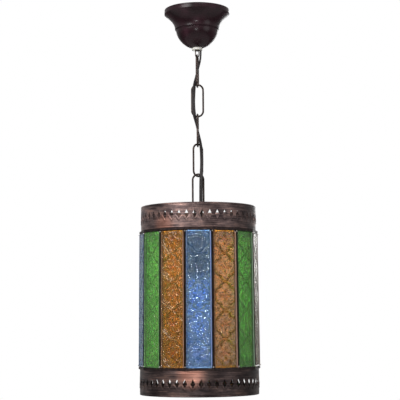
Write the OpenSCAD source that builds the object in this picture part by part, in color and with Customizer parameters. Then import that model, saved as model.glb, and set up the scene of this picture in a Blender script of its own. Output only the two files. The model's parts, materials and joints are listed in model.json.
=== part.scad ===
// Pendant lantern: a drum of coloured glass strips between two pierced rings,
// hung on five chain links and a flat flex below a bell-shaped ceiling canopy.
// Origin: middle of the ceiling face. +Z points up, the lamp hangs down, -Y is its front.

/* [Canopy] */
// Radius of the canopy's rim
canopy_r = 56; // [46:1:68]
// Height of the canopy from rim to bottom hole
canopy_h = 65.8; // [54:0.1:80]
// Sheet thickness of the canopy
canopy_t = 0.9; // [0.6:0.05:1.4]
// Height of the straight band at the rim
rim_band_h = 7.5; // [5:0.5:12]
// Radius of the flare where it meets the dome
waist_r = 38; // [31:1:46]
// Height of the ledge below the ceiling
waist_z = 33.5; // [27:0.5:41]
// Radius of the canopy's bottom hole
canopy_hole_r = 8.9; // [8.7:0.1:11]

/* [Ceiling strap] */
// Length of the strap
strap_l = 84; // [80:1:102]
// Width of the strap
strap_w = 18; // [14:1:22]
// Thickness of the strap
strap_t = 1.5; // [1:0.05:2.5]
// How far the strap's middle is set down from the ceiling
strap_drop = 10; // [8:1:14]
// Distance between the two ceiling screw holes
screw_spacing = 68; // [62:1:70]
// Radius of the ceiling screw holes
screw_hole_r = 2.3; // [2:0.1:3]

/* [Hook] */
// Radius of the threaded rod
rod_r = 2; // [1.5:0.1:2.5]
// Wire diameter of the loop below the canopy
loop_wire_d = 1.8; // [1.4:0.1:2.2]
// Outer width of the loop
loop_w = 7.8; // [7.4:0.1:9.4]
// How far the plastic collar's flange reaches past the canopy's hole
collar_lip = 0.5; // [0.4:0.1:2]

/* [Chain] */
// Outer length of a link
link_l = 58.2; // [48:0.1:70]
// Outer width of a link
link_w = 22.4; // [18:0.1:27]
// Wire diameter of a link
link_wire_d = 3.2; // [2.6:0.1:3.9]
// Free play between two wires that hang on each other
chain_gap = 0.3; // [0.2:0.05:0.6]

/* [Flex] */
// Width of the flat flex
flex_w = 5.8; // [4.8:0.1:7]
// Thickness of the flat flex
flex_t = 3.5; // [2.9:0.1:4.2]

/* [Lantern] */
// Height of the glass drum
drum_h = 229.5; // [150:0.5:280]
// Height of the bottom pierced ring
ring_h = 42; // [34:1:52]
// How much lower the top pierced ring is than the bottom one
top_ring_less = 0.8; // [0:0.1:4]
// Distance from the axis to the glass face at the top
glass_face_top = 98; // [80:0.5:120]
// How much further out the glass face stands at the bottom
drum_flare = 1.7; // [0.5:0.1:8]
// Number of glass strips
strip_count = 14; // [12:2:18]
// Thickness of a glass strip
glass_t = 3.4; // [2.8:0.1:4.2]
// Open joint between two neighbouring strips, at the face
strip_gap = 2.5; // [2:0.1:3.5]
// Radius of a strip's top corners
strip_corner_r = 5; // [2:0.5:7]
// Sheet thickness of the pierced rings
ring_t = 0.8; // [0.6:0.05:1.2]
// Number of pierced holes round a ring
hole_count = 48; // [36:1:60]
// Width of a diamond hole
hole_w = 7.5; // [5:0.5:9]
// Height of a diamond hole
hole_h = 15.5; // [10:0.5:20]
// How far the top ring's holes sit above its middle
top_hole_rise = 1; // [0:0.1:3]
// Turn of the top ring's holes from the front
top_hole_turn = 3.6; // [0:0.1:7]
// Turn of the bottom ring's holes from the front
bottom_hole_turn = 1.4; // [0:0.1:7]

/* [Lampholder] */
// Space from the screw shell out to the lampholder's outside
holder_space = 6; // [5:0.1:9]
// Length of the lampholder below its neck
holder_l = 64; // [53:1:77]
// Inner radius of the screw shell
shell_r = 13.4; // [11:0.1:17]
// Length of the screw shell
shell_l = 24; // [20:1:29]
// Radius of the hollow nipple
nipple_r = 5; // [4.2:0.1:6]
// Radius of the nipple's bore
nipple_bore_r = 3.6; // [3:0.1:4.4]

/* [Hidden] */
$fn = 64;
fit = 0.1;

// Heights of the hanging line, from the ceiling down
collar_r = canopy_hole_r + collar_lip;
collar_h = 4.5;
collar_bottom = -canopy_h - collar_h + 0.8;
loop_drop = 12;
loop_bottom = collar_bottom - loop_drop - 0.8;
first_link_top = loop_bottom + loop_wire_d + chain_gap + link_wire_d;
link_pitch = link_l - 2 * link_wire_d - chain_gap;
link_turns = [82, 0, 87, 38, -16];
chain_bottom = first_link_top - 4 * link_pitch - link_l;
eye_wire_d = 3;
eye_w = 21;
eye_turn = 45;
eye_top = chain_bottom + link_wire_d + chain_gap + eye_wire_d;
ring_top = chain_bottom + 0.7;
drum_top = ring_top - ring_h;
drum_bottom = drum_top - drum_h;
lamp_bottom = drum_bottom - ring_h;

// Drum geometry
glass_face_bottom = glass_face_top + drum_flare;
half_step = 180 / strip_count;
taper = atan((glass_face_bottom - glass_face_top) / drum_h);
ring_r_top = glass_face_top - 0.4;
ring_r_bottom = glass_face_bottom + 0.4;
rail_t = 1;
rail_inset = 0.6;
rail_w = 11.5;
lip_t = 0.8;
lip_h = 2.5;
tongue_t = 2.2;
rail_play = 0.3;
web_t = 0.6;
bead_r = 0.7;
flange_w = 8;
web_depth = glass_t - 0.8;
dot_r = strip_gap / 2 - 0.15;

// Cross bar and lampholder, stacked from the rail down
bar_t = 2.5;
bar_w = 18;
boss_r = nipple_r + 2.5;
boss_h = 10;
bar_bottom = drum_top;
bar_top = bar_bottom + bar_t;
washer_t = 1;
nut_t = 4;
washer_bottom = bar_bottom - washer_t;
nut_bottom = washer_bottom - nut_t;
cap_top = nut_bottom - 1.2;
neck_r = nipple_r + 2.6;
neck_h = 6;
cap_h = 24;
cap_wall = 1.6;
shell_t = 0.5;
holder_r = shell_r + shell_t + holder_space;
cap_bottom = cap_top - neck_h - cap_h;
sleeve_bottom = cap_top - neck_h - holder_l;
base_r = holder_r - 3.4;
base_top = cap_top - neck_h - 10;
base_h = 18;
base_bottom = base_top - base_h;
bore_depth = 10;
shell_seat = bore_depth - 2.8;

// Route of the flex: x, y, z and the turn of its wide side from +X
flex_route = [
    [6.0, 0.0, -24, 90], [6.0, 0.0, -40, 90], [6.0, 0.0, -56, 90], [6.0, 0.0, -72, 90],
    [5.6, 0.0, -82, 90], [4.4, -0.2, -90, 90], [2.4, -0.4, -98, 90], [0.0, -0.6, -107, 86],
    [-2.2, -1.4, -116, 78], [-4.0, -3.0, -124, 66], [-5.2, -4.9, -131, 50], [-5.8, -5.2, -138, 30],
    [-6.5, -4.8, -147, 10], [-7.0, -4.5, -160, 0], [-6.7, -4.6, -171, 0], [-6.0, -5.0, -179, 15],
    [-5.0, -4.8, -187, 40], [-3.0, -2.4, -196, 75], [-0.2, -0.3, -208, 90], [2.6, -0.8, -220, 80],
    [4.4, -2.2, -230, 60], [5.4, -2.8, -239, 40], [6.2, -2.8, -250, 20], [6.4, -2.8, -262, 10],
    [6.2, -3.6, -273, 5], [5.7, -5.2, -282, 0], [5.2, -6.0, -291, 0], [4.8, -6.0, -302, 0],
    [4.6, -6.0, -316, 0], [4.5, -6.2, -330, 0], [4.3, -6.2, -339, 0], [3.4, -4.8, -348, -5],
    [1.6, -2.2, -357, -10], [0.3, -0.4, -366, -12], [0.0, 0.0, -376, -12], [0.0, 0.0, -392, -12]];
flex_sides = 12;
flex_steps = 2;
core_r = 1.1;

function glass_name(k) = str("glass_", k < 10 ? "0" : "", k);

// The colours of the strips, from the front one round to the right
strip_colours = ["royalblue", "darkgoldenrod", "forestgreen", "wheat", "darkgoldenrod",
    "forestgreen", "wheat", "royalblue", "wheat", "forestgreen", "darkgoldenrod",
    "royalblue", "forestgreen", "darkgoldenrod"];
function strip_colour(k) = strip_colours[(k - 1) % len(strip_colours)];

// Corners of a regular outline with one flat side at the front
function regular(apothem, count) =
    let (corner = apothem / cos(180 / count))
    [for (k = [0:count - 1]) let (a = -90 + (k + 0.5) * 360 / count) corner * [cos(a), sin(a)]];

// Point of the face taper at a height below the drum's top
function face_at(z) = glass_face_top + (drum_top - z) * tan(taper);

module ring_shape(r_out, r_in, h) {
    difference() {
        cylinder(r = r_out, h = h);
        translate([0, 0, -1]) cylinder(r = r_in, h = h + 2);
    }
}

module hexagon_nut(across, h, bore_r) {
    difference() {
        cylinder(r = across / 2 / cos(30), h = h, $fn = 6);
        translate([0, 0, -1]) cylinder(r = bore_r, h = h + 2, $fn = 48);
    }
}

// Half of the canopy's outline: straight rim, hollow flare, ledge, full dome.
// The inner line is set back square to the outer one by the sheet's thickness.
flare_w = canopy_r - waist_r;
flare_h = waist_z - rim_band_h;
ledge_w = 1.8;
ledge_h = 0.8;
dome_w = waist_r - ledge_w - canopy_hole_r;
dome_h = canopy_h - waist_z - ledge_h;
function flare_point(t, inset) =
    let (n = [flare_h, -2 * flare_w * t] / norm([flare_h, 2 * flare_w * t]))
    [min(waist_r + flare_w * t * t - inset * n[0], canopy_r - inset),
     -waist_z + flare_h * t - inset * n[1]];
function dome_point(a, inset) =
    let (n = [dome_h * cos(a), -dome_w * sin(a)] / norm([dome_h * cos(a), dome_w * sin(a)]))
    [canopy_hole_r + dome_w * pow(max(cos(a), 0), 1.35) - inset * n[0],
     -waist_z - ledge_h - dome_h * pow(sin(a), 1.08) - inset * n[1]];
canopy_outer = concat([[canopy_r, 0]], [for (k = [12:-1:0]) flare_point(k / 12, 0)],
    [for (a = [0:9:90]) dome_point(a, 0)]);
canopy_inner = concat([[canopy_r - canopy_t, 0]], [for (k = [12:-1:1]) flare_point(k / 12, canopy_t)],
    [[canopy_hole_r + dome_w - canopy_t, -waist_z - ledge_h + canopy_t]],
    [for (a = [0:9:90]) dome_point(a, canopy_t)]);

module canopy() {
    outline = concat(canopy_outer, [for (k = [len(canopy_inner) - 1:-1:0]) canopy_inner[k]]);
    color([0.16, 0.11, 0.12]) rotate_extrude($fn = 96) polygon(outline);
}

module ceiling_strap() {
    foot_l = (strap_l - screw_spacing) / 2 + 7;
    middle_l = strap_l - 2 * foot_l;
    color([0.75, 0.75, 0.76]) difference() {
        union() {
            for (s = [-1, 1]) {
                translate([s * (strap_l - foot_l) / 2, 0, -strap_t / 2])
                    cube([foot_l, strap_w, strap_t], center = true);
                translate([s * (middle_l / 2 + strap_t / 2), 0, -strap_drop / 2])
                    cube([strap_t, strap_w, strap_drop], center = true);
            }
            translate([0, 0, -strap_drop + strap_t / 2])
                cube([middle_l + strap_t, strap_w, strap_t], center = true);
        }
        for (s = [-1, 1])
            translate([s * screw_spacing / 2, 0, -strap_t - 1])
                cylinder(r = screw_hole_r, h = strap_t + 2);
        translate([0, 0, -strap_drop - 1]) cylinder(r = rod_r + fit, h = strap_t + 2);
    }
}

// Threaded rod that ends in a thin closed loop under the collar
module eye_bolt() {
    wire_r = loop_wire_d / 2;
    arc_r = loop_w / 2 - wire_r;
    arc_z = loop_bottom + wire_r + arc_r;
    plate_z = collar_bottom - 0.8;
    color([0.20, 0.16, 0.15]) union() {
        translate([0, 0, plate_z]) cylinder(r = rod_r, h = -plate_z - strap_drop + strap_t + 5);
        translate([0, 0, plate_z - 0.8]) cylinder(r = loop_w / 2 - 0.1, h = 1.6);
        for (s = [-1, 1])
            translate([s * arc_r, 0, arc_z]) cylinder(r = wire_r, h = plate_z - arc_z, $fn = 32);
        translate([0, 0, arc_z]) rotate([-90, 0, 0])
            rotate_extrude(angle = 180, $fn = 64) translate([arc_r, 0]) circle(r = wire_r, $fn = 32);
    }
}

module strap_nuts() {
    color([0.78, 0.72, 0.45]) {
        translate([0, 0, -strap_drop + strap_t]) hexagon_nut(2 * rod_r + 3, 3, rod_r + fit / 2);
        translate([0, 0, -strap_drop - 3]) hexagon_nut(2 * rod_r + 3, 3, rod_r + fit / 2);
    }
}

// Slot for the flat flex, open along Z
module flex_slot(x, h) {
    length = flex_w + 0.5;
    width = flex_t + 0.4;
    translate([x, 0, 0]) {
        translate([-width / 2, -(length - width) / 2, 0]) cube([width, length - width, h]);
        for (s = [-1, 1])
            translate([0, s * (length - width) / 2, 0]) cylinder(r = width / 2, h = h, $fn = 48);
    }
}

// White plastic bush that stops the canopy and grips the flex
module cord_collar() {
    spigot_h = 12;
    top_z = collar_bottom + collar_h;
    color([0.93, 0.92, 0.88]) difference() {
        union() {
            translate([0, 0, collar_bottom + 1.4]) cylinder(r1 = collar_r, r2 = collar_r - 1.4, h = 2.3);
            translate([0, 0, collar_bottom]) cylinder(r = collar_r, h = 1.4);
            translate([0, 0, top_z - 2]) cylinder(r = canopy_hole_r - fit, h = spigot_h + 2);
        }
        translate([0, 0, collar_bottom - 1]) cylinder(r = rod_r + fit, h = spigot_h + collar_h + 3);
        translate([0, 0, collar_bottom - 1]) flex_slot(flex_route[0][0], spigot_h + collar_h + 3);
        translate([0, 0, top_z + spigot_h - 4]) rotate([-90, 0, 0])
            cylinder(r = 1.55, h = canopy_hole_r + 2, $fn = 32);
    }
}

module collar_screw() {
    z = collar_bottom + collar_h + 8;
    color([0.8, 0.8, 0.8]) difference() {
        translate([0, rod_r + 0.2, z]) rotate([-90, 0, 0]) cylinder(r = 1.5, h = 8, $fn = 32);
        translate([-0.3, rod_r + 7.4, z - 2]) cube([0.6, 2, 4]);
    }
}

block_l = 24;
block_w = 12;
block_h = 11;
block_y = strap_w / 2 + 1.8;
block_top = -strap_drop;
block_pitch = 8;

module terminal_block() {
    color([0.92, 0.92, 0.9]) difference() {
        union() {
            translate([-block_l / 2, block_y - block_w / 2, block_top - block_h])
                cube([block_l, block_w, block_h * 0.6]);
            for (k = [-1:1])
                translate([k * block_pitch, block_y, block_top - block_h * 0.5])
                    cylinder(r = 3, h = block_h * 0.5, $fn = 32);
        }
        for (k = [-1:1]) {
            translate([k * block_pitch, block_y, block_top - block_h * 0.7])
                cylinder(r = 1.6, h = block_h, $fn = 32);
            translate([k * block_pitch, block_y - block_w, block_top - block_h * 0.75])
                rotate([-90, 0, 0]) cylinder(r = core_r + 0.15, h = block_w * 2, $fn = 32);
        }
    }
}

module terminal_screws() {
    color([0.8, 0.74, 0.5]) for (k = [-1:1])
        translate([k * block_pitch, block_y, block_top - block_h * 0.55]) difference() {
            cylinder(r = 1.5, h = 4, $fn = 32);
            translate([-0.3, -2, 3.3]) cube([0.6, 4, 1]);
        }
}

// A round core laid along straight runs with ball joints between them
module core_run(points) {
    for (k = [0:len(points) - 2]) {
        d = points[k + 1] - points[k];
        len_d = norm(d);
        translate(points[k]) rotate([0, acos(d[2] / len_d), atan2(d[1], d[0])])
            cylinder(r = core_r, h = len_d, $fn = 24);
    }
    for (k = [1:len(points) - 2]) translate(points[k]) sphere(r = core_r + 0.06, $fn = 24);
}

// Smooth curve through the route's points, four numbers at a time
function blend(a, b, c, d, t) =
    0.5 * (2 * b + (c - a) * t + (2 * a - 5 * b + 4 * c - d) * t * t
        + (3 * b - a - 3 * c + d) * t * t * t);
function smooth_line(points, steps) =
    let (last = len(points) - 1)
    concat([for (k = [0:last - 1]) for (s = [0:steps - 1])
        blend(points[max(k - 1, 0)], points[k], points[k + 1], points[min(k + 2, last)], s / steps)],
        [points[last]]);

// Faces of a closed tube whose rings of points follow one another
function tube_faces(rings, sides) = concat(
    [for (r = [0:rings - 2]) for (k = [0:sides - 1])
        let (n = (k + 1) % sides, a = r * sides, b = a + sides)
        each [[a + k, a + n, b + n], [a + k, b + n, b + k]]],
    [[for (k = [sides - 1:-1:0]) k], [for (k = [0:sides - 1]) (rings - 1) * sides + k]]);

// A round core along a smooth curve; aside is a direction the curve never takes
module swept_core(points, aside) {
    sides = 16;
    line = smooth_line(points, 5);
    last = len(line) - 1;
    skin = [for (k = [0:last])
        let (d = line[min(k + 1, last)] - line[max(k - 1, 0)],
            u = cross(d, aside) / norm(cross(d, aside)), v = cross(u, d) / norm(d))
        for (a = [0:sides - 1])
            line[k] + core_r * (cos(360 * a / sides) * u + sin(360 * a / sides) * v)];
    polyhedron(skin, tube_faces(last + 1, sides));
}

// Blue passes in front of the rod, brown goes straight back to the block
module supply_cores() {
    z = block_top - block_h * 0.75;
    start = flex_route[0];
    front_y = -rod_r - core_r - 1.4;
    block_in = block_y - block_w / 2;
    color([0.2, 0.35, 0.7]) swept_core([
        [start[0], -1.4, start[2] + 0.2], [start[0] - 0.1, -1.9, start[2] + 2.2],
        [3.5, front_y + 0.1, z - 0.8], [-1, front_y, z], [-block_pitch + 2, -2.4, z],
        [-block_pitch, block_in - 3.3, z], [-block_pitch, block_in - 1.2, z],
        [-block_pitch, block_y - 1, z]], [1, 0.3, 1]);
    color([0.45, 0.26, 0.15]) swept_core([
        [start[0], 1.4, start[2] + 0.2], [start[0] + 0.1, 1.5, start[2] + 2.2],
        [block_pitch - 0.6, block_in - 3, z - 0.9], [block_pitch, block_in - 1.2, z],
        [block_pitch, block_y - 1, z]], [1, 0, 0]);
}

flex_line = smooth_line(flex_route, flex_steps);

// The oval section at one point, level, with its wide side turned
function oval(p) = [for (k = [0:flex_sides - 1])
    let (a = 360 * k / flex_sides, u = flex_w / 2 * cos(a), v = flex_t / 2 * sin(a))
    [p[0] + u * cos(p[3]) - v * sin(p[3]), p[1] + u * sin(p[3]) + v * cos(p[3]), p[2]]];

module cable() {
    points = [for (p = flex_line) each oval(p)];
    color([0.13, 0.10, 0.10]) polyhedron(points, tube_faces(len(flex_line), flex_sides));
}

// One oblong chain link, standing in the XZ plane with its top at z = 0
module chain_link() {
    wire_r = link_wire_d / 2;
    arc_r = link_w / 2 - wire_r;
    straight = link_l - link_w;
    translate([0, 0, -link_w / 2]) rotate([90, 0, 0])
        rotate_extrude(angle = 180, $fn = 64) translate([arc_r, 0]) circle(r = wire_r, $fn = 32);
    translate([0, 0, -link_l + link_w / 2]) rotate([-90, 0, 0])
        rotate_extrude(angle = 180, $fn = 64) translate([arc_r, 0]) circle(r = wire_r, $fn = 32);
    for (s = [-1, 1])
        translate([s * arc_r, 0, -link_l + link_w / 2]) cylinder(r = wire_r, h = straight, $fn = 32);
}

module placed_link(k) {
    color([0.24, 0.21, 0.20]) translate([0, 0, first_link_top - (k - 1) * link_pitch])
        rotate([0, 0, link_turns[k - 1]]) union() chain_link();
}

// Pear-shaped eye whose legs close in on a threaded boss
module hanging_eye() {
    wire_r = eye_wire_d / 2;
    arc_r = eye_w / 2 - wire_r;
    arc_z = eye_top - wire_r - arc_r;
    foot_r = boss_r - wire_r - 0.2;
    foot_z = bar_top + boss_h - 1.5;
    reach = norm([foot_r, arc_z - foot_z]);
    lean = atan2(arc_z - foot_z, foot_r) - acos(arc_r / reach);
    leg = sqrt(reach * reach - arc_r * arc_r);
    color([0.28, 0.22, 0.20]) difference() {
        rotate([0, 0, eye_turn]) union() {
            translate([0, 0, arc_z]) rotate([90, 0, 0]) rotate([0, 0, -lean])
                rotate_extrude(angle = 180 + 2 * lean, $fn = 64)
                    translate([arc_r, 0]) circle(r = wire_r, $fn = 32);
            for (s = [-1, 1]) {
                translate([s * foot_r, 0, foot_z]) rotate([0, s * lean, 0])
                    cylinder(r = wire_r, h = leg - 0.3, $fn = 32);
                translate([s * arc_r * cos(lean), 0, arc_z - arc_r * sin(lean)])
                    sphere(r = wire_r + 0.06, $fn = 32);
            }
            translate([0, 0, bar_top]) cylinder(r = boss_r, h = boss_h);
        }
        translate([0, 0, bar_top - 1]) cylinder(r = nipple_r + fit / 2, h = boss_h + 14);
    }
}

module nipple() {
    color([0.7, 0.6, 0.35]) translate([0, 0, cap_top - neck_h - 3])
        ring_shape(nipple_r, nipple_bore_r, bar_top + boss_h - 2 - cap_top + neck_h + 3);
}

bar_l = 2 * (ring_r_top - ring_t - 1);
rivet_x = (glass_face_top - rail_inset) / cos(half_step) - 6.7;
rivet_y = 6.4;
rivet_r = 1.4;
rivet_head_r = 2.2;
rivet_head_h = 1.1;

// Four places for the rivets that pin the bar to the rail
module at_rivets() {
    for (sx = [-1, 1]) for (sy = [-1, 1]) translate([sx * rivet_x, sy * rivet_y, 0]) children();
}

module cross_bar() {
    color([0.30, 0.23, 0.20]) difference() {
        intersection() {
            translate([-bar_l / 2, -bar_w / 2, bar_bottom]) cube([bar_l, bar_w, bar_t]);
            translate([0, 0, bar_bottom - 1]) cylinder(r = bar_l / 2, h = bar_t + 2, $fn = 128);
        }
        translate([0, 0, bar_bottom - 1]) cylinder(r = nipple_r + fit, h = bar_t + 2);
        at_rivets() translate([0, 0, bar_bottom - 1]) cylinder(r = rivet_r + fit, h = bar_t + 2);
    }
}

module bar_rivets() {
    shaft_bottom = bar_bottom - rail_t - rivet_head_h / 2;
    color([0.55, 0.45, 0.35]) at_rivets() union() {
        translate([0, 0, shaft_bottom])
            cylinder(r = rivet_r, h = bar_top + rivet_head_h / 2 - shaft_bottom, $fn = 32);
        translate([0, 0, bar_top])
            cylinder(r1 = rivet_head_r, r2 = rivet_head_r - 0.9, h = rivet_head_h, $fn = 48);
        translate([0, 0, bar_bottom - rail_t - rivet_head_h])
            cylinder(r1 = rivet_head_r - 0.9, r2 = rivet_head_r, h = rivet_head_h, $fn = 48);
    }
}

module nipple_washer() {
    color([0.75, 0.75, 0.72]) translate([0, 0, washer_bottom])
        ring_shape(nipple_r + 4, nipple_r + fit, washer_t);
}

module nipple_nut() {
    color([0.78, 0.70, 0.42]) translate([0, 0, nut_bottom])
        hexagon_nut(2 * nipple_r + 4, nut_t, nipple_r + fit / 2);
}

module holder_cap() {
    shoulder = cap_top - neck_h;
    color([0.10, 0.10, 0.10]) rotate_extrude($fn = 96) polygon([
        [nipple_r + fit / 2, cap_top], [neck_r, cap_top], [neck_r, shoulder + 1],
        [holder_r - 5, shoulder - 2], [holder_r - 1, shoulder - 6], [holder_r, shoulder - 10],
        [holder_r, cap_bottom], [holder_r - cap_wall, cap_bottom],
        [holder_r - cap_wall, shoulder - 9.4], [base_r, shoulder - 9.4],
        [base_r - 3, shoulder - 4.5], [nipple_r + 2, shoulder - 2.5],
        [nipple_r + 2, shoulder], [nipple_r + fit / 2, shoulder]]);
}

module holder_base() {
    color([0.93, 0.91, 0.86]) difference() {
        translate([0, 0, base_bottom]) cylinder(r = base_r, h = base_h);
        translate([0, 0, base_bottom - 1]) cylinder(r = shell_r + shell_t + fit, h = bore_depth + 1);
        for (s = [-1, 1])
            translate([s * 9, 0, base_bottom]) cylinder(r = core_r + 0.3, h = base_h + 1, $fn = 32);
        for (s = [-1, 1])
            translate([0, s * 9, base_bottom]) cylinder(r = 1.6, h = base_h + 1, $fn = 32);
    }
}

module holder_shell() {
    color([0.80, 0.66, 0.35]) translate([0, 0, base_bottom + shell_seat - shell_l])
        ring_shape(shell_r + shell_t, shell_r, shell_l);
}

module holder_sleeve() {
    overlap = 9;
    inner_r = holder_r - 2.2;
    top = cap_bottom - 0.2;
    color([0.10, 0.10, 0.10]) union() {
        translate([0, 0, sleeve_bottom]) ring_shape(holder_r, inner_r, top - sleeve_bottom);
        translate([0, 0, sleeve_bottom]) ring_shape(inner_r + 0.1, shell_r + shell_t + 0.8, 2);
        translate([0, 0, top - 1])
            ring_shape(holder_r - cap_wall - fit, base_r + fit, overlap);
    }
}

module centre_contact() {
    z = base_bottom + bore_depth;
    color([0.82, 0.68, 0.38]) union() {
        translate([-3, -7.5, z - 0.5]) cube([6, 12, 0.5]);
        translate([0, 0, z - 2.5]) cylinder(r1 = 1.5, r2 = 2.5, h = 2.1, $fn = 32);
    }
}

module contact_screws() {
    color([0.8, 0.74, 0.5]) for (s = [-1, 1])
        translate([0, s * 9, base_bottom + bore_depth + 1]) union() {
            cylinder(r = 1.5, h = base_h - bore_depth - 1, $fn = 32);
            translate([0, 0, base_h - bore_depth - 1]) cylinder(r = 2.4, h = 1.2, $fn = 32);
        }
}

module holder_cores() {
    z = flex_route[len(flex_route) - 1][2] - 0.4;
    turn_z = cap_top - neck_h - 4.8;
    drop_z = base_top + 1.7;
    color([0.2, 0.35, 0.7]) core_run([[1.2, 0, z], [1.6, 0, turn_z], [9, 0, drop_z],
        [9, 0, base_top - 4]]);
    color([0.45, 0.26, 0.15]) core_run([[-1.2, 0, z], [-1.6, 0, turn_z], [-9, 0, drop_z],
        [-9, 0, base_top - 4]]);
}

// Band of sheet with a row of diamond holes, their middle at hole_z
module pierced_ring(r, z, h, hole_z, turn) {
    difference() {
        translate([0, 0, z]) ring_shape(r, r - ring_t, h);
        for (k = [0:hole_count - 1])
            rotate([0, 0, turn + k * 360 / hole_count - 90])
                translate([r - ring_t - 1, 0, hole_z]) rotate([90, 0, 90])
                    linear_extrude(ring_t + 2) polygon([[-hole_w / 2, 0], [0, -hole_h / 2],
                        [hole_w / 2, 0], [0, hole_h / 2]]);
    }
}

module top_ring() {
    h = ring_h - top_ring_less;
    color([0.44, 0.36, 0.34])
        pierced_ring(ring_r_top, drum_top, h, drum_top + h / 2 + top_hole_rise, top_hole_turn);
}

module bottom_ring() {
    color([0.44, 0.36, 0.34])
        pierced_ring(ring_r_bottom, lamp_bottom, ring_h, lamp_bottom + ring_h / 2, bottom_hole_turn);
}

// Regular sheet frame with an upstanding lip; up is 1 or -1, the way the lip points
module rail(face, z, up) {
    edge = face - rail_inset;
    low = up > 0 ? z : z - rail_t;
    difference() {
        union() {
            translate([0, 0, low]) linear_extrude(rail_t) difference() {
                polygon(regular(edge, strip_count));
                polygon(regular(edge - rail_w, strip_count));
            }
            translate([0, 0, up > 0 ? z : z - rail_t - lip_h]) linear_extrude(rail_t + lip_h)
                difference() {
                    polygon(regular(edge, strip_count));
                    polygon(regular(edge - lip_t, strip_count));
                }
        }
        if (up < 0)
            at_rivets() translate([0, 0, z - rail_t - 1]) cylinder(r = rivet_r + fit, h = rail_t + 2);
    }
}

module top_rail() {
    color([0.20, 0.16, 0.15]) rail(glass_face_top, drum_top, -1);
}

module bottom_rail() {
    color([0.20, 0.16, 0.15]) rail(glass_face_bottom, drum_bottom, 1);
}

// Folded strip at a corner: thin web between the glass, inner flange, outer bead
module upright() {
    lean = atan(tan(taper) / cos(half_step));
    corner_r = glass_face_top / cos(half_step);
    low = drum_bottom + rail_t + 0.1;
    high = drum_top - rail_t - 0.1;
    clear_low = low + lip_h + 0.2;
    clear_high = high - lip_h - 0.2;
    web_out = corner_r - 2.1;
    translate([corner_r, 0, drum_top]) rotate([0, -lean, 0]) translate([-corner_r, 0, -drum_top])
        union() {
            translate([web_out - web_depth, -web_t / 2, low]) cube([web_depth, web_t, high - low]);
            translate([web_out - web_depth - web_t, -flange_w / 2, low])
                cube([web_t, flange_w, high - low]);
            translate([web_out, 0, clear_low])
                cylinder(r = bead_r, h = clear_high - clear_low, $fn = 32);
        }
}

module uprights() {
    color([0.20, 0.16, 0.15]) for (k = [0:strip_count - 1])
        rotate([0, 0, -90 + (k + 0.5) * 360 / strip_count]) upright();
}

// Solder dots that pin the strips at each corner, just clear of the rails
module corner_solder() {
    inset = lip_h + rail_t + 2.2;
    color([0.72, 0.70, 0.66]) for (k = [0:strip_count - 1])
        rotate([0, 0, -90 + (k + 0.5) * 360 / strip_count])
            for (z = [drum_top - inset, drum_bottom + inset])
                translate([face_at(z) / cos(half_step) - 0.5, 0, z]) difference() {
                    sphere(r = dot_r, $fn = 32);
                    translate([-2 * dot_r, -dot_r, -dot_r]) cube([2 * dot_r - 0.8, 2 * dot_r, 2 * dot_r]);
                }
}

// Outline of a strip seen from the front: x to the right, y up, round top corners
module strip_outline(half_top, half_bottom, height) {
    round_at = strip_corner_r;
    polygon(concat(
        [[-half_bottom, 0], [half_bottom, 0]],
        [for (a = [0:15:90])
            [half_top - round_at + round_at * cos(a), height - round_at + round_at * sin(a)]],
        [for (a = [90:15:180])
            [-half_top + round_at + round_at * cos(a), height - round_at + round_at * sin(a)]]));
}

// A pressed glass strip with thin tongues that sit in the two rails
module glass_strip(k) {
    half_top = glass_face_top * tan(half_step) - strip_gap / 2;
    half_bottom = glass_face_bottom * tan(half_step) - strip_gap / 2;
    edge = rail_t + lip_h + rail_play;
    pane_h = drum_h - 2 * edge;
    tongue_h = lip_h + rail_play - 0.1;
    tongue_in = rail_inset + lip_t + rail_play;
    tongue_w = 2 * half_top - 4;
    color(strip_colour(k), 0.6) rotate([0, 0, (k - 1) * 360 / strip_count])
        translate([0, -glass_face_top, drum_top]) rotate([-taper, 0, 0]) union() {
            translate([0, 0, -drum_h + edge]) rotate([90, 0, 0]) translate([0, 0, -glass_t])
                linear_extrude(glass_t) strip_outline(half_top, half_bottom, pane_h);
            translate([-tongue_w / 2 + 2, tongue_in, -edge - 0.5])
                cube([tongue_w - 4, glass_t - tongue_in, tongue_h + 0.5]);
            translate([-tongue_w / 2, tongue_in, -drum_h + edge - tongue_h])
                cube([tongue_w, glass_t - tongue_in, tongue_h + 0.5]);
        }
}

ceiling_strap();
canopy();
eye_bolt();
strap_nuts();
cord_collar();
collar_screw();
terminal_block();
terminal_screws();
supply_cores();
cable();
placed_link(1);  // link_1
placed_link(2);  // link_2
placed_link(3);  // link_3
placed_link(4);  // link_4
placed_link(5);  // link_5
hanging_eye();
cross_bar();
bar_rivets();
nipple();
nipple_washer();
nipple_nut();
holder_cap();
holder_base();
holder_shell();
holder_sleeve();
centre_contact();
contact_screws();
holder_cores();
top_ring();
bottom_ring();
top_rail();
bottom_rail();
uprights();
corner_solder();
for (k = [1:strip_count])
    glass_strip(k);
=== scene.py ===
import bpy
import bmesh
import json
import math
import numpy as np
from mathutils import Matrix, Vector


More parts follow.
